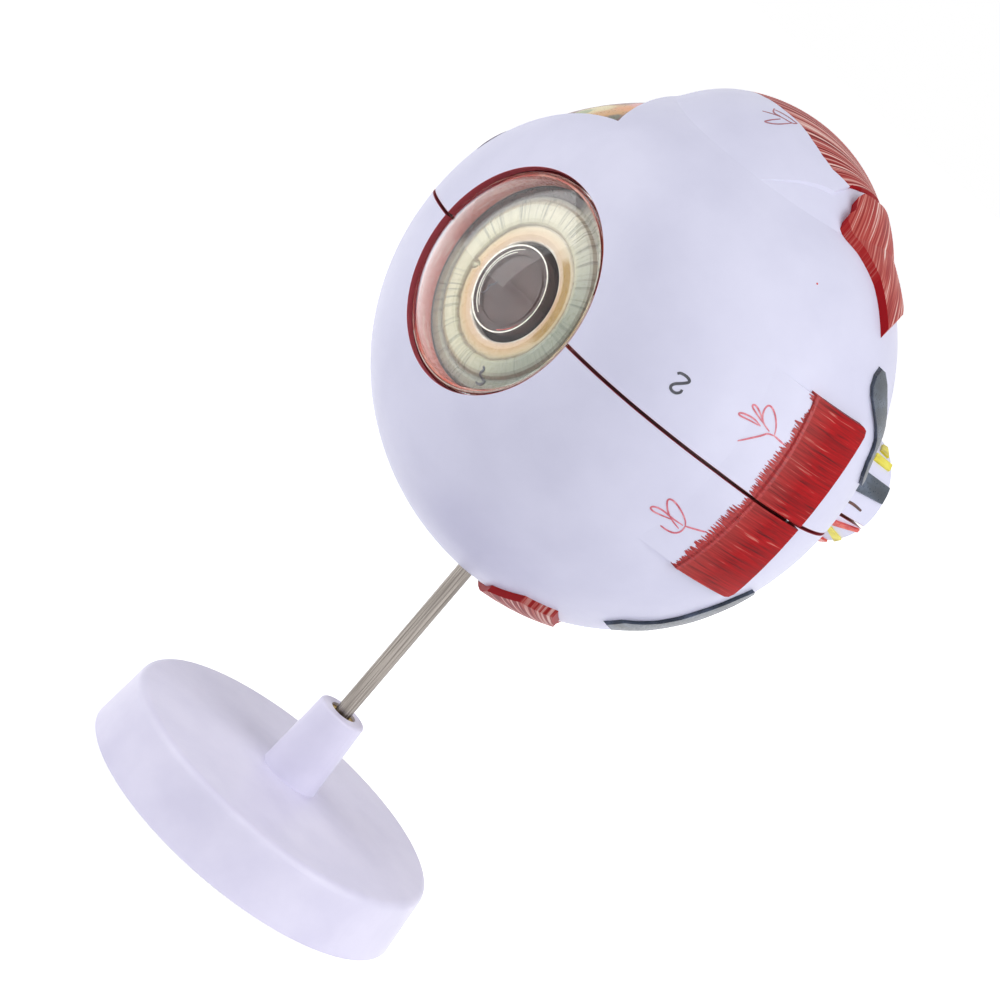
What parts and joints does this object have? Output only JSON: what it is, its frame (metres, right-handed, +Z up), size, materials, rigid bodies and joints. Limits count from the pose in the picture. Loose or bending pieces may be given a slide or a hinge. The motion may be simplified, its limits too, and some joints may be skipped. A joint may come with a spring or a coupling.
{
  "type": "eye anatomy model",
  "caption": "Enlarged sectional model of a human eye on a stand: shells, coats, vitreous body, lens, iris and cornea lift apart, and the eyeball turns on a rod over a weighted round base.",
  "frame": {"origin": "middle of the foam foot's underside, on the table", "axes": "+Z up along the rod; the cornea looks along -Y and the optic nerve runs back along +Y; +X is the nasal side"},
  "size_m": [0.154, 0.1569, 0.261],
  "materials": {
    "stand_plastic": "satin moulded plastic",
    "plate_plastic": "matt moulded plastic",
    "foot_foam": "dark foam rubber",
    "weight_iron": "raw cast iron",
    "screw_steel": "plated steel",
    "sleeve_brass": "turned brass",
    "rod_steel": "satin plated steel",
    "shell_white": "painted white, semi-gloss",
    "muscle_red": "hand-painted in fine strokes",
    "muscle_pink": "hand-painted in fine strokes",
    "vein_slate": "painted",
    "nerve_yellow": "painted",
    "artery_red": "painted",
    "nerve_cream": "painted",
    "choroid_maroon": "painted, with a multicoloured patch behind the window",
    "retina_orange": "painted, with fine vessels",
    "disc_cream": "painted",
    "vitreous_clear": "clear moulded plastic",
    "lens_clear": "clear moulded plastic",
    "zonule_white": "translucent plastic",
    "ciliary_brown": "painted dark brown",
    "limbus_salmon": "painted salmon",
    "iris_cream": "painted in cream, ochre and grey-green",
    "cornea_clear": "clear polished plastic"
  },
  "bodies": {
    "stand": {"base": "stand_plastic", "base_plate": "plate_plastic", "foot_pad": "foot_foam", "base_weight": "weight_iron", "base_screws": "screw_steel", "rod_sleeve": "sleeve_brass"},
    "rod": {"rod": "rod_steel"},
    "lower_shell": {"sclera_lower": "shell_white", "seam_pins": "screw_steel", "rod_socket": "plate_plastic", "nerve_core": "nerve_cream", "central_artery": "artery_red", "central_vein": "vein_slate", "medial_rectus_lower": "muscle_red", "lateral_rectus_lower": "muscle_red", "inferior_rectus": "muscle_red", "inferior_oblique": "muscle_pink", "vortex_veins_lower": "vein_slate", "ciliary_nerve_lower": "nerve_yellow", "ciliary_arteries": "artery_red"},
    "lower_coat": {"choroid_lower": "choroid_maroon", "retina_lower": "retina_orange"},
    "vitreous": {"vitreous_body": "vitreous_clear"},
    "upper_coat": {"choroid_upper": "choroid_maroon", "retina_upper": "retina_orange", "optic_disc": "disc_cream"},
    "upper_shell": {"sclera_upper": "shell_white", "medial_rectus_upper": "muscle_red", "lateral_rectus_upper": "muscle_red", "superior_rectus": "muscle_red", "superior_oblique": "muscle_pink", "vortex_veins_upper": "vein_slate", "ciliary_nerves_upper": "nerve_yellow", "ciliary_vein": "vein_slate"},
    "lens_piece": {"lens": "lens_clear", "zonule_ring": "zonule_white"},
    "iris_piece": {"ciliary_body": "ciliary_brown", "limbus_ring": "limbus_salmon", "iris": "iris_cream"},
    "cornea_piece": {"cornea": "cornea_clear"}
  },
  "joints": [
    {"name": "rod_turn", "type": "hinge", "parent": "stand", "child": "rod", "pos_m": [0, 0, 0.045], "axis": [0, 0, 1], "continuous": true},
    {"name": "eyeball_lift", "type": "slide", "parent": "rod", "child": "lower_shell", "axis": [0, 0, 1], "range_m": [0, 0.03]},
    {"name": "lower_coat_lift", "type": "slide", "parent": "lower_shell", "child": "lower_coat", "axis": [0, 0, 1], "range_m": [0, 0.09]},
    {"name": "vitreous_lift", "type": "slide", "parent": "lower_coat", "child": "vitreous", "axis": [0, 0, 1], "range_m": [0, 0.1]},
    {"name": "upper_coat_lift", "type": "slide", "parent": "vitreous", "child": "upper_coat", "axis": [0, 0, 1], "range_m": [0, 0.09]},
    {"name": "upper_shell_lift", "type": "slide", "parent": "upper_coat", "child": "upper_shell", "axis": [0, 0, 1], "range_m": [0, 0.1]},
    {"name": "lens_pull", "type": "slide", "parent": "vitreous", "child": "lens_piece", "axis": [0, -1, 0], "range_m": [0, 0.06]},
    {"name": "iris_pull", "type": "slide", "parent": "lens_piece", "child": "iris_piece", "axis": [0, -1, 0], "range_m": [0, 0.045]},
    {"name": "cornea_pull", "type": "slide", "parent": "iris_piece", "child": "cornea_piece", "axis": [0, -1, 0], "range_m": [0, 0.03]}
  ]
}
